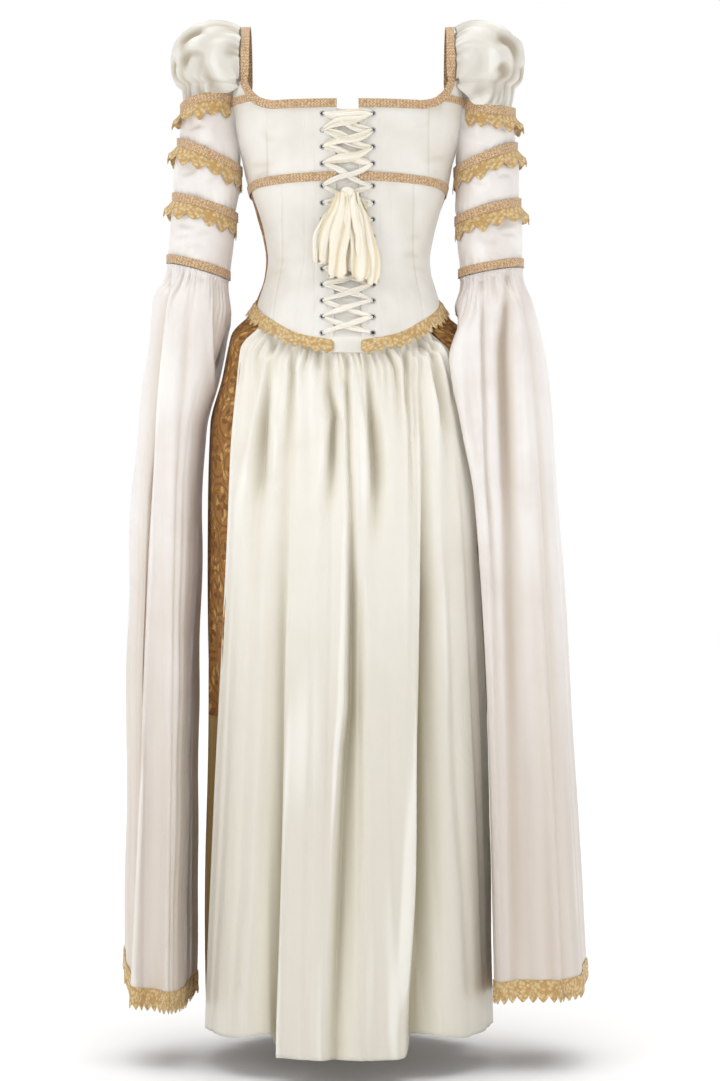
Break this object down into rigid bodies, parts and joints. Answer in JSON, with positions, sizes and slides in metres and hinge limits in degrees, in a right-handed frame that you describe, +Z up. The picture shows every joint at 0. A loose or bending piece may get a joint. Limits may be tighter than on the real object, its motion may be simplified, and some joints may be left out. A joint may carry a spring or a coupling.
{
  "type": "corset dress",
  "caption": "Long dress with a boned bodice laced at the back, puffed sleeves that open into long bells, and a full gathered skirt in satin and brocade.",
  "frame": {"origin": "on the centre plane, level with the tops of the two shoulder straps, where the wearer's shoulders hold the dress", "axes": "+Z up, -Y towards the laced back, +Y towards the front, +X towards the wearer's right as seen from the back"},
  "size_m": [0.6761, 0.413, 1.4428],
  "materials": {
    "ivory_satin": "satin",
    "gold_brocade": "crushed brocade",
    "gold_satin": "satin",
    "woven_braid": "woven braid",
    "gold_lace": "guipure lace",
    "ribbon": "satin ribbon",
    "nickel": "polished"
  },
  "bodies": {
    "root": {"bodice_back_upper_left": "ivory_satin", "bodice_back_upper_right": "ivory_satin", "bodice_back_lower_left": "ivory_satin", "bodice_back_lower_right": "ivory_satin", "bodice_front_upper": "ivory_satin", "modesty_panel": "ivory_satin", "skirt_back": "ivory_satin", "puff_left": "ivory_satin", "puff_right": "ivory_satin", "sleeve_upper_left": "ivory_satin", "sleeve_upper_right": "ivory_satin", "bell_sleeve_left": "ivory_satin", "bell_sleeve_right": "ivory_satin", "bodice_front_lower": "gold_brocade", "skirt_front": "gold_brocade", "skirt_front_lower": "gold_satin", "neck_braid": "woven_braid", "underbust_braid": "woven_braid", "elbow_braid_left": "woven_braid", "elbow_braid_right": "woven_braid", "waist_lace": "gold_lace", "bell_lace_left": "gold_lace", "bell_lace_right": "gold_lace", "arm_band_1_left": "gold_lace", "arm_band_2_left": "gold_lace", "arm_band_3_left": "gold_lace", "arm_band_1_right": "gold_lace", "arm_band_2_right": "gold_lace", "arm_band_3_right": "gold_lace", "lacing": "ribbon", "bow": "ribbon", "eyelet_left_01": "nickel", "eyelet_left_02": "nickel", "eyelet_left_03": "nickel", "eyelet_left_04": "nickel", "eyelet_left_05": "nickel", "eyelet_left_06": "nickel", "eyelet_left_07": "nickel", "eyelet_left_08": "nickel", "eyelet_left_09": "nickel", "eyelet_left_10": "nickel", "eyelet_left_11": "nickel", "eyelet_left_12": "nickel", "eyelet_left_13": "nickel", "eyelet_left_14": "nickel", "eyelet_right_01": "nickel", "eyelet_right_02": "nickel", "eyelet_right_03": "nickel", "eyelet_right_04": "nickel", "eyelet_right_05": "nickel", "eyelet_right_06": "nickel", "eyelet_right_07": "nickel", "eyelet_right_08": "nickel", "eyelet_right_09": "nickel", "eyelet_right_10": "nickel", "eyelet_right_11": "nickel", "eyelet_right_12": "nickel", "eyelet_right_13": "nickel", "eyelet_right_14": "nickel"}
  },
  "joints": []
}
